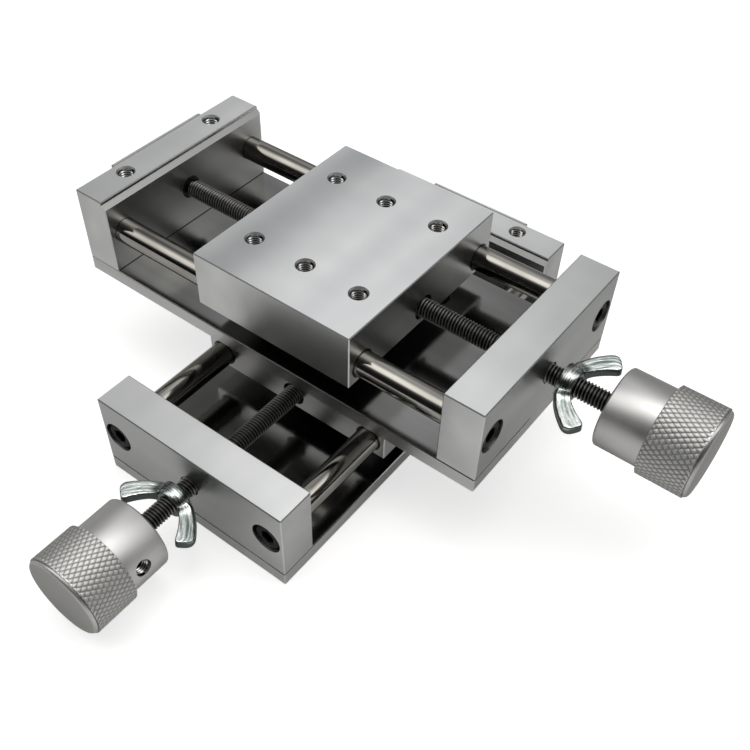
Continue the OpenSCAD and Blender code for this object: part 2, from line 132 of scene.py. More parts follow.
def turned(rings, segments):
    """A mesh spun about X from rings of (x, radius) in millimetres; a radius of 0 closes an end."""
    bm = bmesh.new()
    rows = []
    for x, radius in rings:
        if radius == 0:
            rows.append([bm.verts.new((x * MM, 0, 0))] * segments)
            continue
        row = []
        for i in range(segments):
            a = 2 * math.pi * i / segments
            r = radius(a) if callable(radius) else radius
            row.append(bm.verts.new((x * MM, r * math.cos(a) * MM, r * math.sin(a) * MM)))
        rows.append(row)
    for one, two in zip(rows, rows[1:]):
        for i in range(segments):
            j = (i + 1) % segments
            corners = list(dict.fromkeys((one[i], one[j], two[j], two[i])))
            bm.faces.new(corners)
    bmesh.ops.recalc_face_normals(bm, faces=bm.faces)
    mesh = bpy.data.meshes.new("turned")
    bm.to_mesh(mesh)
    bm.free()
    return mesh


# %% Shading and placing
def smooth(mesh, angle=32):
    """Smooth shading that keeps every edge sharper than the angle."""
    mesh.shade_smooth()
    mesh.set_sharp_from_angle(angle=math.radians(angle))
    return mesh


def placed(mesh, stage, x=0.0, y=0.0, turn=0.0):
    """Turns a mesh about X, moves it within its stage, then carries it to the stage's place."""
    spin = Matrix.Rotation(math.radians(turn), 4, "X")
    mesh.transform(STAGES[stage] @ Matrix.Translation((x * MM, y * MM, AXIS_Z * MM)) @ spin)
    return mesh


def linked(name, data):
    """A new object in the scene."""
    thing = bpy.data.objects.new(name, data)
    scene.collection.objects.link(thing)
    return thing


def add_piece(name, mesh, material, body, replaced=()):
    """A finished piece: named, given its material, and riding on its body."""
    mesh.name = name
    mesh.materials.clear()
    mesh.materials.append(material)
    piece = linked(name, mesh)
    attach(piece, body)
    if replaced:
        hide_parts(*replaced)


# %% [markdown]
# ## Nodes by one helper
# Materials and Geometry Nodes trees are both built from nodes, settings and links, so one function
# serves them all. An input that is itself a node or a socket becomes a link, so a sum can be written
# inside another one. A node hides the sockets that its settings don't use, and those aren't counted.

# %% Add a node
MATH, RANGE, MIX = "ShaderNodeMath", "ShaderNodeMapRange", "ShaderNodeMix"


def node(tree, kind, inputs=None, **settings):
    """Adds a node with its settings; an input is a number, a colour, a node or a node's socket."""
    n = tree.nodes.new(kind)
    for key, value in settings.items():
        setattr(n, key, value)
    sockets = [s for s in n.inputs if s.enabled]
    for key, value in (inputs or {}).items():
        socket = sockets[key] if isinstance(key, int) else next(s for s in sockets if s.name == key)
        if isinstance(value, bpy.types.Node):
            value = next(s for s in value.outputs if s.enabled)
        if isinstance(value, bpy.types.NodeSocket):
            tree.links.new(value, socket)
        else:
            socket.default_value = value
    return n


def srgb(text):
    """A hex colour as linear light."""
    channels = [int(text[i : i + 2], 16) / 255 for i in (1, 3, 5)]
    return [c / 12.92 if c <= 0.04045 else ((c + 0.055) / 1.055) ** 2.4 for c in channels] + [1.0]


# %% [markdown]
# ## The camera
# The photograph was taken from the front right, looking down at about 49 degrees from only 24 cm away,
# so the perspective is strong. The numbers come from a fit of known corners to their pixels. The
# picture is square, so the sensor's width gives the lens from the focal length in pixels.

# %% Camera
PICTURE, SENSOR = 750, 36  # the square picture's width in pixels, and the sensor's in millimetres
FOCAL = 963.35  # focal length in pixels
CENTRE = (361.77, 423.58)  # the pixel on the lens's axis
LOOKS_AT, DISTANCE = (42.04, -49.09, 52.5), 244.45  # a point on the axis and the way to it, in millimetres
azimuth, elevation, roll = math.radians(36.64), math.radians(49.0), math.radians(-1.42)

away = Vector((-math.sin(azimuth), math.cos(azimuth), 0))
level = Vector((math.cos(azimuth), math.sin(azimuth), 0))
back = math.sin(elevation) * Vector((0, 0, 1)) - math.cos(elevation) * away
upright = back.cross(level)
right = math.cos(roll) * level - math.sin(roll) * upright
above = math.sin(roll) * level + math.cos(roll) * upright
eye = (Vector(LOOKS_AT) + back * DISTANCE) * MM

camera = linked("camera", bpy.data.cameras.new("camera"))
camera.matrix_world = Matrix.Translation(eye) @ Matrix((right, above, back)).transposed().to_4x4()
camera.data.sensor_width = SENSOR
camera.data.lens = FOCAL / PICTURE * SENSOR
camera.data.shift_x = 0.5 - CENTRE[0] / PICTURE
camera.data.shift_y = CENTRE[1] / PICTURE - 0.5
camera.data.clip_start, camera.data.clip_end = 0.01, 20
scene.camera = camera
print("camera at mm:", [round(v * 1000, 1) for v in eye], "lens:", round(camera.data.lens, 2))

# %% [markdown]
# ## Light for bright metal
# Metal shows its surroundings more than its own colour, so the surroundings are the lighting. The studio
# has a narrow bright strip overhead, a soft glow half way up on the far side, and is nearly black on the
# camera's side. The rods mirror all of it, so they show a cream stripe between a grey half and a black
# half. The tops mirror the glow, so they are brightest in the middle of the picture and fade sideways.
# Lamps could do the same, but a sky of nodes is easier to shape, because each value is a direction.

# %% Directions in the sky
scene.view_settings.view_transform = "Standard"
world = bpy.data.worlds.new("studio")
scene.world = world
world.use_nodes = True
sky = world.node_tree
sky.nodes.clear()
ray = node(sky, "ShaderNodeTexCoord").outputs["Generated"]
far = node(sky, "ShaderNodeVectorMath", {0: ray, 1: away}, operation="DOT_PRODUCT")
aside = node(sky, "ShaderNodeVectorMath", {0: ray, 1: level}, operation="DOT_PRODUCT")
height = node(sky, "ShaderNodeSeparateXYZ", {0: ray}).outputs["Z"]
height = node(sky, MATH, {0: height, 1: 0.0}, operation="MAXIMUM")
arc = node(sky, MATH, {0: height, 1: far}, operation="ARCTAN2")
arc = node(sky, MATH, {0: arc, 1: math.pi}, operation="DIVIDE")

# %% The sky's brightness
SKY_STEPS = [  # each one a place and a brightness; 0 is the far horizon, 0.5 overhead, 1 the near horizon
    (0.0, 0.2), (0.05, 0.38), (0.12, 0.46), (0.17, 0.36), (0.23, 0.22), (0.3, 0.18), (0.34, 0.4),
    (0.39, 1.2), (0.44, 2.6), (0.54, 2.8), (0.58, 1.6), (0.615, 0.22), (0.72, 0.04),
]
SKY_PEAK = 2.8  # a colour ramp holds no more than 1, so its steps are divided by this
ramp = node(sky, "ShaderNodeValToRGB", {0: arc})
while len(ramp.color_ramp.elements) < len(SKY_STEPS):
    ramp.color_ramp.elements.new(0.5)
for element, (place, value) in zip(ramp.color_ramp.elements, SKY_STEPS):
    blue = 0.96 if value > 2 else 0.99  # the bright strip is the warmest
    element.position = place
    element.color = [value / SKY_PEAK * share for share in (1, (1 + blue) / 2, blue)] + [1]
print("steps of the sky:", len(ramp.color_ramp.elements))

# %% A soft hump


def hump(t, value, centre, width):
    """1 at the centre, falling off like a bell on both sides."""
    offset = node(t, MATH, {0: value, 1: centre}, operation="SUBTRACT")
    offset = node(t, MATH, {0: offset, 1: width}, operation="DIVIDE")
    fall = node(t, MATH, {0: offset, 1: offset}, operation="MULTIPLY")
    fall = node(t, MATH, {0: fall, 1: -1.0}, operation="MULTIPLY")
    return node(t, MATH, {0: fall}, operation="EXPONENT")


# %% The sky fades sideways and has a glow
EDGE_FALL, RIGHT_LIFT = 0.66, 0.12  # how much darker both sides get, and how much less of that on the right
edge = node(sky, MATH, {0: node(sky, MATH, {0: aside}, operation="ABSOLUTE"), 1: 3.0}, operation="POWER")
lift = node(sky, MATH, {0: aside, 1: RIGHT_LIFT}, operation="MULTIPLY")
fall = node(sky, MATH, {0: EDGE_FALL, 1: lift}, operation="SUBTRACT")
fall = node(sky, MATH, {0: edge, 1: fall}, operation="MULTIPLY")
strength = node(sky, MATH, {0: 1.0, 1: fall}, operation="SUBTRACT")
strength = node(sky, MATH, {0: strength, 1: SKY_PEAK}, operation="MULTIPLY")
backdrop = node(sky, "ShaderNodeBackground", {"Color": ramp, "Strength": strength})

GLOW_ARC, GLOW_HIGH, GLOW_WIDE, GLOW_SHOWS = 0.27, 0.11, 0.185, 0.86  # its place, its half sizes, its force
glow = {0: hump(sky, arc, GLOW_ARC, GLOW_HIGH), 1: hump(sky, aside, 0.0, GLOW_WIDE)}
glow = node(sky, MATH, glow, operation="MULTIPLY")
glow = node(sky, MATH, {0: glow, 1: GLOW_SHOWS}, operation="MULTIPLY")
glow = node(sky, "ShaderNodeBackground", {"Color": srgb("#FBFCFF"), "Strength": glow})
node(sky, "ShaderNodeOutputWorld", {"Surface": node(sky, "ShaderNodeAddShader", {0: backdrop, 1: glow})})
print("sky tree:", len(sky.nodes), "nodes")

# %% [markdown]
# ### Soft box and table
# One small square lamp high above lights the matt pieces and draws the soft shadow. The table is white
# paint. A little light of its own lifts it to white for the camera, and a little less of it is shown to
# mirrors, so that the shadow stays and no lamp has to be brighter.

# %% Soft box
BOX_PLACE = Vector((0.03, -0.04, 0.75))
BOX_SIDE, BOX_SHOWS = 0.2, 3.0  # metres, and how bright its face looks
lamp = bpy.data.lights.new("top_box", "AREA")
lamp.shape, lamp.size = "SQUARE", BOX_SIDE
lamp.energy = BOX_SHOWS * math.pi * BOX_SIDE**2
lamp.color = srgb("#FFFCF7")[:3]
aim = (-BOX_PLACE).normalized().to_track_quat("-Z", "Y")
linked("top_box", lamp).matrix_world = Matrix.Translation(BOX_PLACE) @ aim.to_matrix().to_4x4()
print("soft box:", round(lamp.energy, 3), "W")

# %% An empty material


def new_material(name):
    """An empty material and its tree."""
    material = bpy.data.materials.new(name)
    material.use_nodes = True
    material.node_tree.nodes.clear()
    return material, material.node_tree


# %% White table
REACH = 3.0  # metres from the middle to each side
CAMERA_LIFT, MIRROR_LIFT = 0.66, 0.22  # the table's own light, as the camera and as mirrors see it
corners = [(-REACH, -REACH, 0), (REACH, -REACH, 0), (REACH, REACH, 0), (-REACH, REACH, 0)]
table_mesh = bpy.data.meshes.new("table")
table_mesh.from_pydata(corners, [], [(0, 1, 2, 3)])
table = linked("table", table_mesh)
table.location.z = -0.05 * MM
table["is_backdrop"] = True
table_paint, t = new_material("white table")
rays = node(t, "ShaderNodeLightPath").outputs
mirrored = {0: rays["Is Glossy Ray"], 1: rays["Is Transmission Ray"]}
mirrored = node(t, MATH, mirrored, operation="ADD", use_clamp=True)
seen = node(t, MATH, {0: rays["Is Camera Ray"], 1: CAMERA_LIFT}, operation="MULTIPLY")
lift = node(t, MATH, {0: mirrored, 1: MIRROR_LIFT}, operation="MULTIPLY")
lift = node(t, MATH, {0: seen, 1: lift}, operation="ADD")
lift = node(t, "ShaderNodeEmission", {"Color": srgb("#FFFFFF"), "Strength": lift})
paint = node(t, "ShaderNodeBsdfDiffuse", {"Color": srgb("#CCCCCC")})
node(t, "ShaderNodeOutputMaterial", {"Surface": node(t, "ShaderNodeAddShader", {0: paint, 1: lift})})
table_mesh.materials.append(table_paint)
print("table:", 2 * REACH, "m wide")

# %% [markdown]
# ## Finishes
# Each finish makes its patterns first and hands them to a principled shader at the end. A helper adds a
# noise whose grain is given in millimetres along each axis, so that every scale is a real one. The lower
# stage is the upper one turned by 90 degrees, so its patterns are turned too.

# %% End a finish
METAL = {"Metallic": 1.0, "Specular Tint": srgb("#CCCCCC")}  # the tint dims the sheen of a flat glance


def surface(t, inputs, relief=None, depth=0.0):
    """Ends a tree with a principled shader; a pattern can be its relief, with a depth in millimetres."""
    if relief is not None:
        bump = {"Height": relief, "Strength": 1.0, "Distance": depth * MM}
        inputs = inputs | {"Normal": node(t, "ShaderNodeBump", bump)}
    node(t, "ShaderNodeOutputMaterial", {"Surface": node(t, "ShaderNodeBsdfPrincipled", inputs)})


# %% Patterns
TURN = {"lower": 90.0, "upper": 0.0}  # turns world directions back to the stage's own


def grain(t, size, turn=0.0, detail=2.0, place="Object", shift=0.0):
    """Noise whose grains measure the given millimetres along the stage's X, Y and Z."""
    if place == "Object":
        spot = node(t, "ShaderNodeTexCoord").outputs["Object"]
    else:
        spot = node(t, "ShaderNodeAttribute", attribute_name=place).outputs["Vector"]
    scale = tuple(1 / (s * MM) for s in size)
    spot = node(t, "ShaderNodeMapping", {"Vector": spot, "Rotation": (0, 0, math.radians(turn))})
    spot = node(t, "ShaderNodeMapping", {"Vector": spot, "Scale": scale, "Location": (shift,) * 3})
    return node(t, "ShaderNodeTexNoise", {"Vector": spot, "Scale": 1.0, "Detail": detail})


def patterned(t, noise, one, two):
    """Runs between two numbers or two hex colours by the middle of a noise, where nearly all of it lies."""
    share = node(t, RANGE, {"Value": noise, "From Min": 0.3, "From Max": 0.7})
    if isinstance(one, str):
        return node(t, MIX, {"Factor": share, "A": srgb(one), "B": srgb(two)}, data_type="RGBA")
    return node(t, MIX, {"Factor": share, "A": one, "B": two})


def parts_of(t, what):
    """The X, Y and Z of a piece's Object place or of its Normal."""
    return node(t, "ShaderNodeSeparateXYZ", {0: node(t, "ShaderNodeTexCoord").outputs[what]}).outputs


def upward(t):
    """1 on faces that look up, 0 on upright faces and those that look down."""
    return node(t, RANGE, {"Value": parts_of(t, "Normal")["Z"], "From Min": 0.5, "From Max": 0.9})


# %% [markdown]
# The raised places are painted lighter and the grooves and narrow edges darker, as painted highlight and
# painted shade. A mesh can carry that as a number on each point: 0 in the groove, 1 on the ridge. On turned
# pieces it follows from the radius.

# %% Painted shade and highlight


def mark_ridges(mesh, low, high):
    """Stores how far each point rises from the low radius to the high one, in millimetres about X."""
    rises = [(math.hypot(v.co.y, v.co.z) / MM - low) / (high - low) for v in mesh.vertices]
    values = [min(1.0, max(0.0, rise)) for rise in rises]
    mesh.attributes.new("ridge", "FLOAT", "POINT").data.foreach_set("value", values)
    return mesh


def painted_shade_by_ridge(t, groove, ridge, start=0.35, end=0.95):
    """Painted shade and highlight: a colour from groove to ridge; the ridge's is a hex colour or a node."""
    height = node(t, "ShaderNodeAttribute", attribute_name="ridge").outputs["Fac"]
    share = node(t, RANGE, {"Value": height, "From Min": start, "From Max": end})
    ridge = srgb(ridge) if isinstance(ridge, str) else ridge
    return node(t, MIX, {"Factor": share, "A": srgb(groove), "B": ridge}, data_type="RGBA")


# %% [markdown]
# ### Milled aluminium
# The blocks and carriages are bar stock. Their tops were milled last, which leaves a matt face with
# cutter lines about a quarter of a millimetre apart and broad soft bands where the passes meet. The
# lines are drawn about four times as wide, so that they show. The upright faces kept the drawn surface
# of the bar, so they mirror the table and the screw, blurred. The tops are painted lighter than the
# upright faces, as painted light. A dark band across each carriage, near its rear end, is a painted
# reflection. The slope of the rear block's ledge and all eased edges are rougher, and painted darker
# as painted shade.

# %% Milled aluminium
PAINTED_REFLECTION_X, PAINTED_REFLECTION_WIDTH, PAINTED_REFLECTION_STRENGTH = -20.5, 11, 0.62  # the painted dark reflection's place, its width and its force
SLOPE, SLOPE_SPREAD = 0.68, 0.16  # how far a slope that is painted darker looks up, and how near a face must be to that


def milled_aluminium(stage):
    material, t = new_material("milled aluminium, " + stage)
    top = upward(t)
    bands = grain(t, (14, 90, 14), TURN[stage], 1.0)
    lines = grain(t, (1.1, 60, 1.1), TURN[stage], 1.0)
    clouds = grain(t, (22, 12, 22), TURN[stage], 1.0, shift=3.0)
    place = parts_of(t, "Object")
    along, sign = (place["X"], 1.0) if stage == "upper" else (place["Y"], -1.0)
    along = node(t, MATH, {0: along, 1: sign}, operation="MULTIPLY")
    # a band across the tops is painted darker, as a painted dark reflection
    painted_reflection = node(t, MATH, {0: top, 1: PAINTED_REFLECTION_STRENGTH}, operation="MULTIPLY")
    painted_reflection = node(t, MATH, {0: hump(t, along, PAINTED_REFLECTION_X * MM, PAINTED_REFLECTION_WIDTH * MM), 1: painted_reflection}, operation="MULTIPLY")
    # faces of this tilt are painted darker, as painted shade, and are also rougher
    slope_shade_and_roughness = hump(t, parts_of(t, "Normal")["Z"], SLOPE, SLOPE_SPREAD)

    milled = patterned(t, bands, "#E6E8E8", "#F8F9F7")
    clouded = {"Factor": patterned(t, clouds, 0.0, 0.25), "A": milled, "B": srgb("#C8CBCC")}
    milled = node(t, MIX, clouded, data_type="RGBA")
    milled = node(t, MIX, {"Factor": painted_reflection, "A": milled, "B": srgb("#8F9294")}, data_type="RGBA")
    # the upright faces are painted darker than the tops, as painted shade, and the tops lighter, as painted
    # light
    upright_shaded_tone = patterned(t, bands, "#BCBDBD", "#CECFCD")
    faces = node(t, MIX, {"Factor": top, "A": upright_shaded_tone, "B": milled}, data_type="RGBA")
    surface(t, METAL | {
        "Base Color": node(t, MIX, {"Factor": slope_shade_and_roughness, "A": faces, "B": srgb("#8A8B8B")}, data_type="RGBA"),
        "Specular Tint": srgb("#B0B0B0"),
        "Roughness": node(t, MIX, {"Factor": slope_shade_and_roughness, "A": patterned(t, bands, 0.33, 0.285), "B": 0.5}),
    }, relief=lines, depth=0.003)
    return material


# %% [markdown]
# ### Mill-finish plate
# The base plates are rolled sheet, hardly worked. They are nearly mirrors, so they show the rods, the
# screw and the blocks above them, with faint long rolling lines. Their sides are milled. Their tops are
# painted darker than their sides, as painted shade.

# %% Mill-finish plate


def rolled_plate(stage):
    material, t = new_material("rolled aluminium plate, " + stage)
    top = upward(t)
    clouds = grain(t, (60, 9, 9), TURN[stage])
    lines = grain(t, (60, 0.5, 0.5), TURN[stage], 1.0)
    # the upward faces are painted darker than the sides, as painted shade
    rolled = patterned(t, clouds, "#747473", "#888886")
    sawn = patterned(t, clouds, "#B4B4B3", "#C2C2C0")
    surface(t, METAL | {
        "Base Color": node(t, MIX, {"Factor": top, "A": sawn, "B": rolled}, data_type="RGBA"),
        "Roughness": node(t, MIX, {"Factor": top, "A": 0.3, "B": patterned(t, clouds, 0.17, 0.12)}),
    }, relief=lines, depth=0.0015)
    return material


# %% [markdown]
# ### Ground rods
# The rods are hardened steel, ground round and plated with chrome. Grinding leaves very fine rings about
# the axis, drawn a third of a millimetre apart here so that they show, and the plating has a warm cast
# beside the aluminium.

# %% Ground rods


def ground_rod(stage):
    material, t = new_material("ground chrome rod, " + stage)
    rings = grain(t, (0.3, 30, 30), TURN[stage], 1.0)
    clouds = grain(t, (12, 4, 4), TURN[stage])
    surface(t, METAL | {
        "Base Color": patterned(t, clouds, "#8A8882", "#9C9A94"),
        "Roughness": patterned(t, clouds, 0.13, 0.07),
    }, relief=rings, depth=0.0012)
    return material


# %% [markdown]
# ### Black oxide steel
# The lead screws and the cap screws are steel, blackened in a hot bath and oiled. The oxide is dark but
# still metal, so crests and edges catch grey lights. On the lead screws the crests are also painted
# lighter and the roots darker, as painted highlight and painted shade.

# %% Black oxide steel


def black_oxide(name, colour, roughness, crest=None):
    material, t = new_material(name)
    patches = grain(t, (1.5, 1.5, 1.5), detail=3.0)
    surface(t, METAL | {
        "Base Color": painted_shade_by_ridge(t, colour, crest) if crest else srgb(colour),
        "Roughness": patterned(t, patches, roughness - 0.07, roughness + 0.09),
    }, relief=patches, depth=0.01)
    return material


# %% [markdown]
# ### Satin knobs
# The knobs are turned aluminium, blasted with fine glass beads and clear anodised. The beads leave pits
# near a tenth of a millimetre across. They are drawn three times as wide here, so that they show. The
# flat ends of the knob are painted a shade darker than its round sides, and the knurl's grooves are
# painted darker, both as painted shade.

# %% Satin aluminium


def satin_aluminium(stage, name, colour, roughness, groove=None):
    material, t = new_material(name + ", " + stage)
    endwise = parts_of(t, "Normal")["X" if stage == "upper" else "Y"]
    endwise = node(t, MATH, {0: endwise}, operation="ABSOLUTE")
    endwise = node(t, MATH, {0: endwise, 1: 4.0}, operation="POWER")
    # the flat ends are painted darker, as painted shade
    ends_shaded = {"Factor": endwise, "A": srgb(colour), "B": srgb("#B9B9B6")}
    clouds = grain(t, (6, 6, 6))
    pits = grain(t, (0.3, 0.3, 0.3), detail=1.0)
    surface(t, METAL | {
        "Base Color": painted_shade_by_ridge(t, groove, colour) if groove else node(t, MIX, ends_shaded, data_type="RGBA"),
        "Specular Tint": srgb("#A8A8A8"),
        "Roughness": patterned(t, clouds, roughness - 0.03, roughness + 0.03),
    }, relief=pits, depth=0.008)
    return material


# %% [markdown]
# ### Bright zinc
# The wing nuts are zinc-plated castings. The plating is bright with a faint cold green cast, and the
# casting under it is uneven, drawn out in streaks along the wings. The streaks follow an attribute that
# runs across and along each wing, so that they bend and turn with it. The narrow edges and the hub's
# end towards the knob are painted darker, as painted shade.

# %% Bright zinc


def bright_zinc():
    material, t = new_material("bright zinc plate")
    streaks = grain(t, (0.55, 6.0, 3.0), place="cast")
    dimples = grain(t, (0.9, 1.6, 0.9), place="cast", shift=7.0)
    uneven = node(t, MATH, {0: dimples, 1: 0.5}, operation="MULTIPLY")
    uneven = node(t, MATH, {0: streaks, 1: uneven}, operation="ADD")
    surface(t, METAL | {
        # the darker colour on the narrow edges and the hub's end is painted shade
        "Base Color": painted_shade_by_ridge(t, "#59615E", patterned(t, streaks, "#5C6763", "#D6DBD9"), 0.0, 0.9),
        "Roughness": patterned(t, dimples, 0.14, 0.26),
    }, relief=uneven, depth=0.1)
    return material


# %% [markdown]
# ### Acetal and brass
# The bearings are black acetal, a slippery plastic with a dull, slightly uneven skin. The feed nuts are
# turned brass: warm and yellow, with roughness that changes from one tool mark to the next.

# %% Acetal and brass


def black_acetal():
    material, t = new_material("black acetal")
    skin = grain(t, (0.4, 0.4, 0.4))
    surface(t, {"Base Color": srgb("#151516"), "Roughness": 0.42}, relief=skin, depth=0.006)
    return material


def turned_brass():
    material, t = new_material("turned brass")
    rough = patterned(t, grain(t, (0.5, 0.5, 0.5)), 0.2, 0.32)
    surface(t, METAL | {"Base Color": srgb("#C8A867"), "Roughness": rough})
    return material


# %% [markdown]
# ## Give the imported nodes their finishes
# Plates, blocks, carriages and the small hidden pieces are right as they are, with their eased edges, so
# they stay and only get their materials.

# %% Make the finishes
milled = {stage: milled_aluminium(stage) for stage in STAGES}
rolled = {stage: rolled_plate(stage) for stage in STAGES}
rod_steel = {stage: ground_rod(stage) for stage in STAGES}
# the light crest colour is a painted highlight, and the dark root colour is painted shade
screw_black = black_oxide("black oxide lead screw", "#333334", 0.36, crest="#AEAEAC")
cap_black = black_oxide("black oxide cap screw", "#2A2A2C", 0.36)
plastic = black_acetal()
brass = turned_brass()
# the two knobs are alike; the upper one is painted a shade darker than the lower one, as painted shade
satin = {
    "lower": satin_aluminium("lower", "bead-blasted aluminium", "#CBCBCA", 0.45),
    "upper": satin_aluminium("upper", "bead-blasted aluminium", "#C2C2C1", 0.4),
}
# the darker groove colours are painted shade, and the upper knurl is painted a shade darker than the lower
# one, as painted shade
knurled = {
    "lower": satin_aluminium("lower", "knurled aluminium", "#CCCCCA", 0.54, groove="#9A9A97"),
    "upper": satin_aluminium("upper", "knurled aluminium", "#C8C8C6", 0.54, groove="#929290"),
}
zinc = bright_zinc()
print("materials so far:", len(bpy.data.materials))

# %% Assign them
finish_of_slot = {  # some finishes differ from stage to stage
    "black_screws": cap_black, "lead_screws": screw_black, "bearings": plastic, "feed_nuts": brass,
    "wing_nuts": zinc, "knobs": satin, "plates": rolled, "blocks": milled, "rods": rod_steel,
}
slot_of = {part["node"]: part["material_slot"] for part in frame["record"]["subparts"]}
for name, packed in nodes.items():
    stage = "lower" if name.startswith("lower") else "upper"
    finish = finish_of_slot[slot_of[name]]
    packed.data.materials.clear()
    packed.data.materials.append(finish[stage] if isinstance(finish, dict) else finish)
    for polygon in packed.data.polygons:
        polygon.material_index = 0
print("finishes given to", len(nodes), "nodes")

# %% [markdown]
# ## Rods
# Each rod is remade with a smooth round surface, because chrome shows every flat of a coarse cylinder.
# The bores in the blocks have a tiny relief that shows as a dark line around the rod. A shallow groove
# in the rod draws the same line. At its front end the rod is bored for its cap screw.

# %% Rods
ROD_START, ROD_R, ROD_EASE = -69.3, 4.0, 0.5  # rear end along the stage, radius, and the eased end
ROD_BORE_R, ROD_BORE = 2.5, 12.0
REAR_SEAT, FRONT_SEAT = 7.8, 130.6  # from its rear end to where it leaves one block and enters the other
GROOVE = ((-0.02, 0.0), (0.0, 0.14), (0.16, 0.14), (0.2, 0.0))  # along the rod, and how deep
for stage in STAGES:
    for hand, y in (("left", -ROD_Y), ("right", ROD_Y)):
        name = f"{stage}_{hand}_rod"
        low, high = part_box(name)
        length = max(high - low) / MM
        rings = [(0, 0), (0, ROD_R - ROD_EASE), (ROD_EASE, ROD_R)]
        rings += [(seat + x, ROD_R - deep) for seat in (REAR_SEAT, FRONT_SEAT) for x, deep in GROOVE]
        rings += [(length - ROD_EASE, ROD_R), (length, ROD_R - ROD_EASE), (length, ROD_BORE_R)]
        rings += [(length - ROD_BORE, ROD_BORE_R), (length - ROD_BORE, 0)]
        mesh = placed(smooth(turned(rings, 128)), stage, x=ROD_START, y=y)
        add_piece(name + "_ground", mesh, rod_steel[stage], RODS_RIDE_ON[stage], [name])
    print(stage, "rods are", round(length, 2), "mm long")

# %% [markdown]
# ## Screw threads
# A thread is one profile that climbs around a cylinder. A Screw modifier could sweep it, but its ends
# would be cut off square. So a flat grid is rolled up by Geometry Nodes: one direction of the grid
# becomes the turns, the other the ridge from root to crest and back, and the ridge fades out over half a
# turn at both ends. Inside a tapped hole the same tree runs with its crest inward.

# %% Begin and end a tree


def new_tree(name, inputs):
    """A Geometry Nodes tree with the named inputs, and the sockets that give them."""
    t = bpy.data.node_groups.new(name, "GeometryNodeTree")
    t.interface.new_socket(name="Geometry", in_out="OUTPUT", socket_type="NodeSocketGeometry")
    for label, kind in inputs.items():
        t.interface.new_socket(name=label, in_out="INPUT", socket_type="NodeSocket" + kind)
    return t, node(t, "NodeGroupInput").outputs


def end_tree(t, geometry, material):
    """Makes copies real, because the export drops instances, and gives them their material."""
    real = node(t, "GeometryNodeRealizeInstances", {"Geometry": geometry})
    done = node(t, "GeometryNodeSetMaterial", {"Geometry": real, "Material": material})
    node(t, "NodeGroupOutput", {0: done})


def about_x(t, x, radius, angle):
    """A place from its distance along X, its radius and its angle."""
    y = node(t, MATH, {0: radius, 1: node(t, MATH, {0: angle}, operation="COSINE")}, operation="MULTIPLY")
    z = node(t, MATH, {0: radius, 1: node(t, MATH, {0: angle}, operation="SINE")}, operation="MULTIPLY")
    return node(t, "ShaderNodeCombineXYZ", {"X": x, "Y": y, "Z": z})


# %% The thread tree


def thread_tree():
    sizes = {"Turns": "Int", "Steps": "Int", "Pitch": "Float", "Root": "Float", "Crest": "Float"}
    t, given = new_tree("thread", sizes | {"Material": "Material"})
    count = node(t, MATH, {0: given["Turns"], 1: given["Steps"]}, operation="MULTIPLY")
    count = node(t, MATH, {0: count, 1: 1.0}, operation="ADD")
    grid = {"Size X": 1.0, "Size Y": 1.0, "Vertices X": count, "Vertices Y": 5}
    sheet = node(t, "GeometryNodeMeshGrid", grid).outputs["Mesh"]
    flat = node(t, "ShaderNodeSeparateXYZ", {0: node(t, "GeometryNodeInputPosition")}).outputs

    turns = node(t, MATH, {0: flat["X"], 1: 0.5}, operation="ADD")
    turns = node(t, MATH, {0: turns, 1: given["Turns"]}, operation="MULTIPLY")
    angle = node(t, MATH, {0: turns, 1: 2 * math.pi}, operation="MULTIPLY")
    to_end = node(t, MATH, {0: given["Turns"], 1: turns}, operation="SUBTRACT")
    fade = node(t, MATH, {0: turns, 1: to_end}, operation="MINIMUM")
    fade = node(t, MATH, {0: fade, 1: 2.0}, operation="MULTIPLY", use_clamp=True)

    across = node(t, MATH, {0: flat["Y"]}, operation="ABSOLUTE")
    across = node(t, MATH, {0: across, 1: 2.0}, operation="MULTIPLY")
    ridge = node(t, MATH, {0: 1.0, 1: across}, operation="SUBTRACT")
    ridge = node(t, MATH, {0: ridge, 1: fade}, operation="MULTIPLY")
    rise = node(t, MATH, {0: given["Crest"], 1: given["Root"]}, operation="SUBTRACT")
    rise = node(t, MATH, {0: rise, 1: ridge}, operation="MULTIPLY")
    radius = node(t, MATH, {0: rise, 1: given["Root"]}, operation="ADD")
    climb = node(t, MATH, {0: turns, 1: flat["Y"]}, operation="ADD")
    climb = node(t, MATH, {0: climb, 1: given["Pitch"]}, operation="MULTIPLY")

    spot = about_x(t, climb, radius, angle)
    rolled_up = node(t, "GeometryNodeSetPosition", {"Geometry": sheet, "Position": spot})
    welded = node(t, "GeometryNodeMergeByDistance", {"Geometry": rolled_up, "Distance": 0.002 * MM})
    end_tree(t, welded, given["Material"])
    return t


# %% Run a tree


def made_real(helper):
    """The plain mesh that a helper object's modifiers make; the helper goes away."""
    depsgraph = bpy.context.evaluated_depsgraph_get()
    mesh = bpy.data.meshes.new_from_object(helper.evaluated_get(depsgraph))
    bpy.data.objects.remove(helper)
    return mesh


def grown(t, values, points=((0, 0, 0),)):
    """The plain mesh that a tree makes with these inputs, from a helper that has the given points."""
    base = bpy.data.meshes.new("points")
    base.from_pydata([tuple(p) for p in points], [], [])
    helper = linked("helper", base)
    modifier = helper.modifiers.new("tree", "NODES")
    modifier.node_group = t
    for item in t.interface.items_tree:
        if item.item_type == "SOCKET" and item.in_out == "INPUT" and item.name in values:
            modifier[item.identifier] = values[item.name]
    return made_real(helper)


threads = thread_tree()
STEPS = 28  # flats in one turn of a thread
print("thread tree:", len(threads.nodes), "nodes")

# %% [markdown]
# ### The lead screws
# The lead screws are M6 with a pitch of 1 mm. The thread runs from the shoulder at the rear bush up into
# the knob, and the journal behind the shoulder is plain.

# %% Join meshes


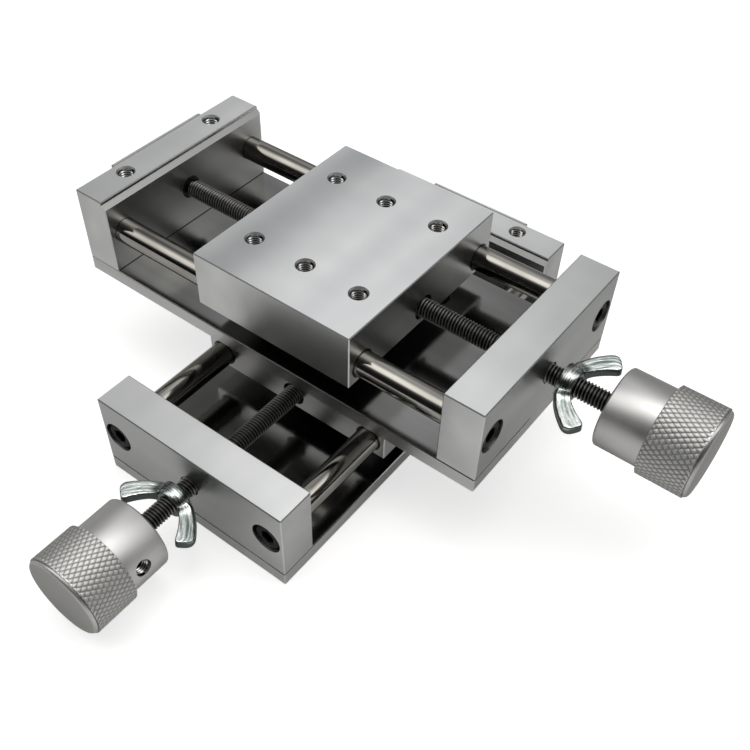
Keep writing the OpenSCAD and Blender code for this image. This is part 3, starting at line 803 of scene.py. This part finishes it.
def joined(meshes):
    """One mesh from several."""
    bm = bmesh.new()
    for mesh in meshes:
        bm.from_mesh(mesh)
    out = bpy.data.meshes.new("joined")
    bm.to_mesh(out)
    bm.free()
    return out


# %% Lead screws
SCREW_START, SCREW_END = -61.4, 113.5
SCREW_PITCH, SCREW_ROOT, SCREW_CREST = 1.0, 2.42, 3.0
SCREW_LEAD = 0.95  # from the shoulder to the middle of the first turn's ridge
JOURNAL_END, JOURNAL_R, JOURNAL_EASE = -73.1, 2.25, 0.25
screw_turns = int((SCREW_END - SCREW_START) / SCREW_PITCH) - 1
screw_core = [
    (JOURNAL_END, 0), (JOURNAL_END, JOURNAL_R - JOURNAL_EASE), (JOURNAL_END + JOURNAL_EASE, JOURNAL_R),
    (SCREW_START, JOURNAL_R), (SCREW_START, SCREW_ROOT), (SCREW_END, SCREW_ROOT), (SCREW_END, 0),
]
for stage in STAGES:
    thread = grown(threads, {
        "Turns": screw_turns, "Steps": STEPS, "Pitch": SCREW_PITCH * MM, "Root": SCREW_ROOT * MM,
        "Crest": SCREW_CREST * MM, "Material": screw_black,
    })
    thread.transform(Matrix.Translation(((SCREW_START + SCREW_LEAD) * MM, 0, 0)))
    mesh = smooth(joined([thread, turned(screw_core, 48)]), 50)
    mesh = placed(mark_ridges(mesh, SCREW_ROOT, SCREW_CREST), stage)
    name = stage + "_lead_screw"
    add_piece(name + "_threaded", mesh, screw_black, stage + "_screw", [name])
print("lead screw thread:", screw_turns, "turns,", len(mesh.polygons), "faces")

# %% [markdown]
# ### Threads in the tapped holes
# Light that falls into a tapped hole draws bright rings on its far wall. Each hole gets a short inner
# thread with a pitch of 0.8 mm. One master is set on the centres of all holes of a piece by a second
# small tree, which puts an object on each point.

# %% The tree that repeats a piece


def repeat_tree():
    inputs = {"Geometry": "Geometry", "Piece": "Object", "Material": "Material"}
    t, given = new_tree("repeat on points", inputs)
    master = node(t, "GeometryNodeObjectInfo", {"Object": given["Piece"]}).outputs["Geometry"]
    copies = node(t, "GeometryNodeInstanceOnPoints", {"Points": given["Geometry"], "Instance": master})
    end_tree(t, copies, given["Material"])
    return t


repeats = repeat_tree()


def repeated(mesh, points, material):
    """Copies of a mesh at points given in millimetres."""
    master = linked("master", mesh)
    out = grown(repeats, {"Piece": master, "Material": material}, [Vector(p) * MM for p in points])
    bpy.data.objects.remove(master)
    return out


# %% Cut thread
HOLE_PITCH, HOLE_ROOT, HOLE_CREST = 0.8, 2.49, 2.08
HOLE_LEAD = 0.75  # from the mouth to the middle of the first turn's ridge


def cut_thread():
    """Cut aluminium in a hole, painted dark in the roots as painted shade and bright on the crests as painted
    highlight.
    """
    material, t = new_material("cut thread in aluminium")
    surface(t, METAL | {"Base Color": painted_shade_by_ridge(t, "#3A3A39", "#ECECEA", 0.2, 0.85), "Roughness": 0.24})
    return material


thread_cut = cut_thread()


def hole_thread(depth):
    """An inner M5 thread that hangs down from z = 0."""
    mesh = grown(threads, {
        "Turns": int(depth / HOLE_PITCH) - 1, "Steps": STEPS, "Pitch": HOLE_PITCH * MM,
        "Root": HOLE_ROOT * MM, "Crest": HOLE_CREST * MM, "Material": thread_cut,
    })
    mark_ridges(mesh, HOLE_ROOT, HOLE_CREST)
    mesh.transform(Matrix.Translation((0, 0, -HOLE_LEAD * MM)) @ Matrix.Rotation(math.radians(90), 4, "Y"))
    mesh.flip_normals()
    return smooth(mesh, 50)


# %% Tapped holes
HOLE_STEP = 19  # between neighbours along the stage, and from the middle to both sides
CARRIAGE_TOP, CARRIAGE_DEPTH = 31, 7.2
BLOCK_X, BLOCK_TOP, BLOCK_DEPTH = -69, 30.5, 6.4
UPPER_CARRIAGE_X = 3.5
hole_rows = [
    ("upper_carriage_hole_threads", "upper", "top_carriage", CARRIAGE_DEPTH, CARRIAGE_TOP,
     [UPPER_CARRIAGE_X + i * HOLE_STEP for i in (-1, 0, 1)]),
    ("lower_carriage_hole_threads", "lower", "middle_slide", CARRIAGE_DEPTH, CARRIAGE_TOP, [0]),
    ("upper_rear_hole_threads", "upper", "middle_slide", BLOCK_DEPTH, BLOCK_TOP, [BLOCK_X]),
    ("lower_rear_hole_threads", "lower", "lower_frame", BLOCK_DEPTH, BLOCK_TOP, [BLOCK_X]),
]
for name, stage, body, depth, z, places in hole_rows:
    centres = [(x, y, z) for x in places for y in (-HOLE_STEP, HOLE_STEP)]
    mesh = repeated(hole_thread(depth), centres, thread_cut)
    mesh.transform(STAGES[stage])
    add_piece(name, mesh, thread_cut, body)
    print(name, len(centres), "holes,", len(mesh.polygons), "faces")

# %% [markdown]
# ## Cap screws
# The rods are pulled against the front block by socket cap screws in counterbores. A turned profile with
# two hexagon rings makes the socket, and the second tree sets the screw at both rods.

# %% Cap screws
cap_profile = [
    (60.5, 0), (60.5, 2.2), (60.75, 2.45), (68.5, 2.45), (68.5, 4.0), (68.75, 4.25), (73.0, 4.25),
    (73.2, 4.2), (73.38, 4.05), (73.45, 3.85), (73.5, 3.6), (73.5, 2.62), (73.35, hexagon(4.2)),
    (73.3, hexagon(4.0)), (71.0, hexagon(4.0)), (70.5, 0),
]
for stage in STAGES:
    screw = smooth(turned(cap_profile, 72), 28)
    mesh = repeated(screw, [(0, -ROD_Y, AXIS_Z), (0, ROD_Y, AXIS_Z)], cap_black)
    mesh.transform(STAGES[stage])
    name = stage + "_rod_screws"
    add_piece(name + "_socket", mesh, cap_black, RODS_RIDE_ON[stage], [name])
print("cap screw:", len(screw.polygons), "faces")

# %% [markdown]
# ## Knobs
# The knob has a plain neck and a grip with a diamond knurl. The body is turned, then a real hole for the
# set screw is cut through the neck. The knurl is rows of small blunt pyramids with full, rounded sides,
# each row shifted by half a step, which is what two crossing helical grooves leave standing. A bump
# pattern would be less work, but the grip's outline against the white shows that the points are real.

# %% Knob body
NECK_R = 11.5
GRIP_START, GRIP_END, GRIP_R = 13.25, 26.4, 12.76
GRUB_X, GRUB_R, GRUB_DEPTH = 8.5, 2.5, 8.0
GRUB_TURN = {"lower": 12.0, "upper": -70.0}
knob_profile = [
    (20.0, 0), (20.0, 3.02), (0.25, 3.02), (0.0, 3.3), (0.0, 10.9), (0.12, 11.15), (0.35, 11.38),
    (0.6, NECK_R), (12.85, NECK_R), (13.0, 11.6), (13.0, 12.35), (13.12, 12.6), (13.3, GRIP_R),
    (26.35, GRIP_R), (GRIP_END, 12.3), (26.52, 12.3), (26.6, 12.5), (26.92, 12.4), (27.16, 12.21),
    (27.35, 11.98), (27.46, 11.7), (27.5, 11.4), (27.5, 0),
]


def knob_body():
    """The turned knob, with the set screw's hole cut from its bore out through its neck."""
    body = linked("body", smooth(turned(knob_profile, 192)))
    cutter = linked("cutter", turned([(-1, 0), (-1, GRUB_R), (14, GRUB_R), (14, 0)], 64))
    cutter.data.transform(Matrix.Translation((GRUB_X * MM, 0, 0)) @ Matrix.Rotation(math.radians(90), 4, "Z"))
    cut = body.modifiers.new("cut", "BOOLEAN")
    cut.operation, cut.object, cut.solver = "DIFFERENCE", cutter, "EXACT"
    mesh = made_real(body)
    bpy.data.objects.remove(cutter)
    return smooth(mesh)


# %% The knurl tree


def whole_number(t, place, total):
    """Counts a grid's rows from 0, from a place that runs from -0.5 to 0.5."""
    place = node(t, MATH, {0: place, 1: 0.5}, operation="ADD")
    last = node(t, MATH, {0: total, 1: 1.0}, operation="SUBTRACT")
    return node(t, MATH, {0: node(t, MATH, {0: place, 1: last}, operation="MULTIPLY")}, operation="ROUND")


def blunt_pyramid(t, flat_top):
    """A four-sided cone, 1 high, whose sides are swollen."""
    sizes = {"Vertices": 4, "Side Segments": 3, "Radius Top": flat_top, "Radius Bottom": 1.0, "Depth": 1.0}
    cone = node(t, "GeometryNodeMeshCone", sizes).outputs["Mesh"]
    corner = node(t, "ShaderNodeSeparateXYZ", {0: node(t, "GeometryNodeInputPosition")}).outputs
    fuller = node(t, MATH, {0: corner["Z"], 1: 0.0}, operation="MAXIMUM")
    fuller = node(t, MATH, {0: fuller, 1: 0.6}, operation="POWER")
    spot = node(t, "ShaderNodeCombineXYZ", {"X": corner["X"], "Y": corner["Y"], "Z": fuller})
    return node(t, "GeometryNodeSetPosition", {"Geometry": cone, "Position": spot})


def knurl_tree():
    sizes = dict.fromkeys(("Row step", "Start", "End", "Valley", "Height", "Flat"), "Float")
    t, given = new_tree("diamond knurl", {"Around": "Int", "Rows": "Int", "Material": "Material"} | sizes)
    grid = {"Size X": 1.0, "Size Y": 1.0, "Vertices X": given["Rows"], "Vertices Y": given["Around"]}
    sheet = node(t, "GeometryNodeMeshGrid", grid).outputs["Mesh"]
    place = node(t, "ShaderNodeSeparateXYZ", {0: node(t, "GeometryNodeInputPosition")}).outputs

    row = whole_number(t, place["X"], given["Rows"])
    odd = node(t, MATH, {0: row, 1: 2.0}, operation="MODULO")
    odd = node(t, MATH, {0: odd, 1: 0.5}, operation="MULTIPLY")
    shifted = node(t, MATH, {0: whole_number(t, place["Y"], given["Around"]), 1: odd}, operation="ADD")
    step = node(t, MATH, {0: 2 * math.pi, 1: given["Around"]}, operation="DIVIDE")
    angle = node(t, MATH, {0: shifted, 1: step}, operation="MULTIPLY")
    x = node(t, MATH, {0: row, 1: given["Row step"]}, operation="MULTIPLY")
    x = node(t, MATH, {0: given["Start"], 1: x}, operation="ADD")
    spot = about_x(t, x, given["Valley"], angle)
    points = node(t, "GeometryNodeSetPosition", {"Geometry": sheet, "Position": spot})

    # the points already stand on the round here, so their place gives the way outwards
    way = node(t, MATH, {0: place["Z"], 1: place["Y"]}, operation="ARCTAN2")
    way = node(t, MATH, {0: way, 1: math.pi / 2}, operation="SUBTRACT")
    turn = node(t, "FunctionNodeEulerToRotation", {0: node(t, "ShaderNodeCombineXYZ", {"X": way})})
    half = node(t, MATH, {0: step, 1: 0.5}, operation="MULTIPLY")
    half = node(t, MATH, {0: given["Valley"], 1: half}, operation="MULTIPLY")
    size = node(t, "ShaderNodeCombineXYZ", {"X": given["Row step"], "Y": half, "Z": given["Height"]})
    copies = {"Points": points, "Instance": blunt_pyramid(t, given["Flat"]), "Rotation": turn, "Scale": size}
    real = node(t, "GeometryNodeRealizeInstances", {0: node(t, "GeometryNodeInstanceOnPoints", copies)})

    # the first and the last row end flush with the grip
    x = node(t, MATH, {0: place["X"], 1: given["Start"]}, operation="MAXIMUM")
    x = node(t, MATH, {0: x, 1: given["End"]}, operation="MINIMUM")
    spot = node(t, "ShaderNodeCombineXYZ", {"X": x, "Y": place["Y"], "Z": place["Z"]})
    trimmed = node(t, "GeometryNodeSetPosition", {"Geometry": real, "Position": spot})
    end_tree(t, trimmed, given["Material"])
    return t


knurls = knurl_tree()
print("knurl tree:", len(knurls.nodes), "nodes")

# %% Knobs
AROUND, ROWS, ROW_STEP = 53, 11, 1.26  # points around the grip, rows of them, and from row to row
POINT_RISE, POINT_FLAT = 0.17, 0.33  # a point's height, and its blunt top as a share of its foot
for stage in STAGES:
    body = stage + "_screw"
    where = {"stage": stage, "x": KNOB_X, "turn": GRUB_TURN[stage]}
    knurl = grown(knurls, {
        "Around": AROUND, "Rows": ROWS, "Row step": ROW_STEP * MM, "Start": GRIP_START * MM,
        "End": GRIP_END * MM, "Valley": GRIP_R * MM, "Height": POINT_RISE * MM, "Flat": POINT_FLAT,
        "Material": knurled[stage],
    })
    knurl = smooth(mark_ridges(knurl, GRIP_R, GRIP_R + POINT_RISE), 62)
    main = placed(knob_body(), **where)
    grub_thread = hole_thread(GRUB_DEPTH)
    outward = Matrix.Rotation(math.radians(-90), 4, "X")
    grub_thread.transform(Matrix.Translation((GRUB_X * MM, (NECK_R - 0.1) * MM, 0)) @ outward)
    add_piece(stage + "_knob_turned", main, satin[stage], body, [stage + "_knob"])
    add_piece(stage + "_knob_knurl", placed(knurl, **where), knurled[stage], body)
    add_piece(stage + "_knob_hole_thread", placed(grub_thread, **where), thread_cut, body)
print("knurl:", len(knurl.polygons), "faces, body:", len(main.polygons), "faces")

# %% [markdown]
# ## Wing nuts
# A wing nut is one casting: a turned hub with two thick swept wings. The mould left the side towards the
# block well rounded, and the side towards the knob nearly sharp. So each wing is lofted: sections that
# run from root to tip, each one a slab whose two edges have radii of their own.

# %% Wing outline
WING_TURN = {"lower": -8.5, "upper": 13.0}
HUB_R, HUB_BORE_R, HUB_H = 5.3, 3.05, 4.6
NEAR_CORNER, FAR_CORNER = 2.3, 1.6  # where the rounding of the tip's two corners begins


def bend(a, b, c, steps):
    """Points on a curve from a to c that leans towards b."""
    return [(1 - t) ** 2 * a + 2 * t * (1 - t) * b + t * t * c for t in (i / steps for i in range(steps + 1))]


def wing_sides(steps):
    """The two long edges of a wing, from its root to its tip, with rounded corners at the tip."""
    back_tip, front_tip = Vector((9.05, 14.5)), Vector((12.5, 10.09))
    near_bend = Vector((back_tip.x * 0.16, back_tip.y * 0.67))
    far_bend = Vector((front_tip.x * 0.592, front_tip.y * 0.723))
    near_end = back_tip + NEAR_CORNER * (near_bend - back_tip).normalized()
    far_end = front_tip + FAR_CORNER * (far_bend - front_tip).normalized()
    tip_start = back_tip + NEAR_CORNER * (front_tip - back_tip).normalized()
    tip_end = front_tip + FAR_CORNER * (back_tip - front_tip).normalized()
    near_start, far_start = Vector((0.65, 5.9)), Vector((4.7, 4.3))  # where a wing leaves its hub
    near = bend(Vector((0.35, 3.5)), Vector((0.5, 4.6)), near_start, 3)[:-1]
    far = bend(Vector((4.0, 3.4)), Vector((4.2, 3.7)), far_start, 3)[:-1]
    near += bend(near_start, near_bend + Vector((0.8, -0.2)), near_end, steps)
    far += bend(far_start, far_bend + Vector((-0.2, 0.0)), far_end, steps)
    return near + bend(near_end, back_tip, tip_start, 7)[1:], far + bend(far_end, front_tip, tip_end, 7)[1:]


# %% Wing section


def wing_section(width, half, near_radius, far_radius):
    """Points (across, up, flatness) around a slab whose near and far edges have radii of their own."""
    near_radius = min(near_radius, 0.45 * width, 0.9 * half)
    far_radius = min(far_radius, 0.45 * width, 0.9 * half)
    rises = [(1 - math.cos(a), math.sin(a)) for a in (math.radians(15 * i) for i in range(7))]
    top = [(near_radius * c, half - near_radius * (1 - s), s) for c, s in rises]
    start, end = near_radius, width - far_radius
    top += [(start + (end - start) * k, half, 1.0) for k in (0.12, 0.5, 0.88)]
    top += [(width - far_radius * c, half - far_radius * (1 - s), s) for c, s in reversed(rises)]
    return top + [(a, -z, s) for a, z, s in reversed(top)]


# %% Wing nut
WING_HALF = 1.65  # half a wing's thickness
NEAR_RADIUS, FAR_RADIUS, TIP_RADIUS = 1.15, 0.4, 0.4
ROOT_END, ROOT_FLARE = 6.9, 2.6  # a wing grows thicker below this radius, over this way
ROOT_RISE = 0.95  # how much each of its sides grows


def wing(side):
    """A closed wing about X, its root inside the hub, and each point's (across, along, up, flatness)."""
    near, far = wing_sides(16)
    tip_way = (far[-1] - near[-1]).normalized()
    bm = bmesh.new()
    rings, marks, along, before = [], [], 0.0, None
    for a, b in zip(near, far):
        middle = (a + b) / 2
        along += (middle - before).length if before else 0.0
        before = middle
        to_tip = abs(tip_way.x * (middle.y - near[-1].y) - tip_way.y * (middle.x - near[-1].x))
        short = TIP_RADIUS - min(to_tip, TIP_RADIUS)
        half = WING_HALF - TIP_RADIUS + math.sqrt(TIP_RADIUS**2 - short**2)
        rise = min(1.0, max(0.0, (ROOT_END - middle.y) / ROOT_FLARE))
        half += ROOT_RISE * rise * rise
        across = (b - a).normalized()
        ring = []
        for d, z, flat in wing_section((b - a).length, half, NEAR_RADIUS, FAR_RADIUS):
            p = a + across * d
            ring.append(bm.verts.new((p.x * MM, side * p.y * MM, z * MM)))
            marks.append((d * MM, side * along * MM, z * MM, flat * (1 - short / TIP_RADIUS)))
        rings.append(ring)
    for one, two in zip(rings, rings[1:]):
        for i in range(len(one)):
            j = (i + 1) % len(one)
            bm.faces.new((one[i], one[j], two[j], two[i]))
    bm.faces.new(rings[0])
    bm.faces.new(rings[-1])
    bmesh.ops.recalc_face_normals(bm, faces=bm.faces)
    mesh = bpy.data.meshes.new("wing")
    bm.to_mesh(mesh)
    bm.free()
    return mesh, marks


def wing_nut():
    """A wing nut about X with its base at x = 0."""
    hub = [
        (HUB_H, HUB_BORE_R), (HUB_H, 3.9), (HUB_H - 0.12, 4.25), (HUB_H - 0.45, 4.52), (HUB_H - 0.9, 4.68),
        (0.5, HUB_R - 0.08), (0.15, HUB_R - 0.25), (0.0, HUB_R - 0.6), (0.0, HUB_BORE_R), (HUB_H, HUB_BORE_R),
    ]
    (one, one_marks), (two, two_marks) = wing(1), wing(-1)
    mesh = joined([one, two, turned(hub, 72)])
    marks = one_marks + two_marks
    # the hub's end towards the knob gets a low value, so it is painted darker, as painted shade
    marks += [(*v.co, 0.1 if v.co.x > (HUB_H - 0.3) * MM else 0.85) for v in mesh.vertices[len(marks) :]]
    cast = mesh.attributes.new("cast", "FLOAT_VECTOR", "POINT")
    cast.data.foreach_set("vector", [c for m in marks for c in m[:3]])
    mesh.attributes.new("ridge", "FLOAT", "POINT").data.foreach_set("value", [m[3] for m in marks])
    return smooth(mesh, 40)


for stage in STAGES:
    mesh = placed(wing_nut(), stage, x=NUT_X, turn=WING_TURN[stage])
    add_piece(stage + "_wing_nut_cast", mesh, zinc, stage + "_wing_nut", [stage + "_wing_nut"])
print("wing nut:", len(mesh.polygons), "faces")

# %% [markdown]
# ## Done
# The size of the finished model is measured, leaving out the table.

# %% Sizes and finish
low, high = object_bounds()
